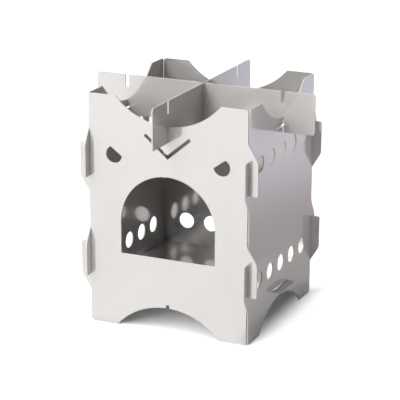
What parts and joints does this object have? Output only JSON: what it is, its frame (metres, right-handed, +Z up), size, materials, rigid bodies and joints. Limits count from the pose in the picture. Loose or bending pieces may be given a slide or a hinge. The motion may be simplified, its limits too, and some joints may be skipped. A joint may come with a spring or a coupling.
{
  "type": "twig stove",
  "caption": "Flat-pack twig stove: four hooked sheet-steel walls with vents and an arched fuel door, a floor plate, and two crossed pot supports that lift off.",
  "frame": {"origin": "middle of the footprint, on the ground", "axes": "+Z up; the fuel door faces -Y; +X to the right when looking at the fuel door"},
  "size_m": [0.186, 0.186, 0.185],
  "materials": {
    "wall_steel": "bright rolled stainless sheet",
    "floor_steel": "bright rolled stainless sheet",
    "support_steel": "bright rolled stainless sheet"
  },
  "bodies": {
    "stove": {"front_wall": "wall_steel", "right_wall": "wall_steel", "back_wall": "wall_steel", "left_wall": "wall_steel", "floor_plate": "floor_steel"},
    "lower_support": {"lower_pot_support": "support_steel"},
    "upper_support": {"upper_pot_support": "support_steel"}
  },
  "joints": [
    {"name": "lower_support_lift", "type": "slide", "parent": "stove", "child": "lower_support", "axis": [0, 0, 1], "range_m": [0, 0.04]},
    {"name": "upper_support_lift", "type": "slide", "parent": "lower_support", "child": "upper_support", "axis": [0, 0, 1], "range_m": [0, 0.04]}
  ]
}
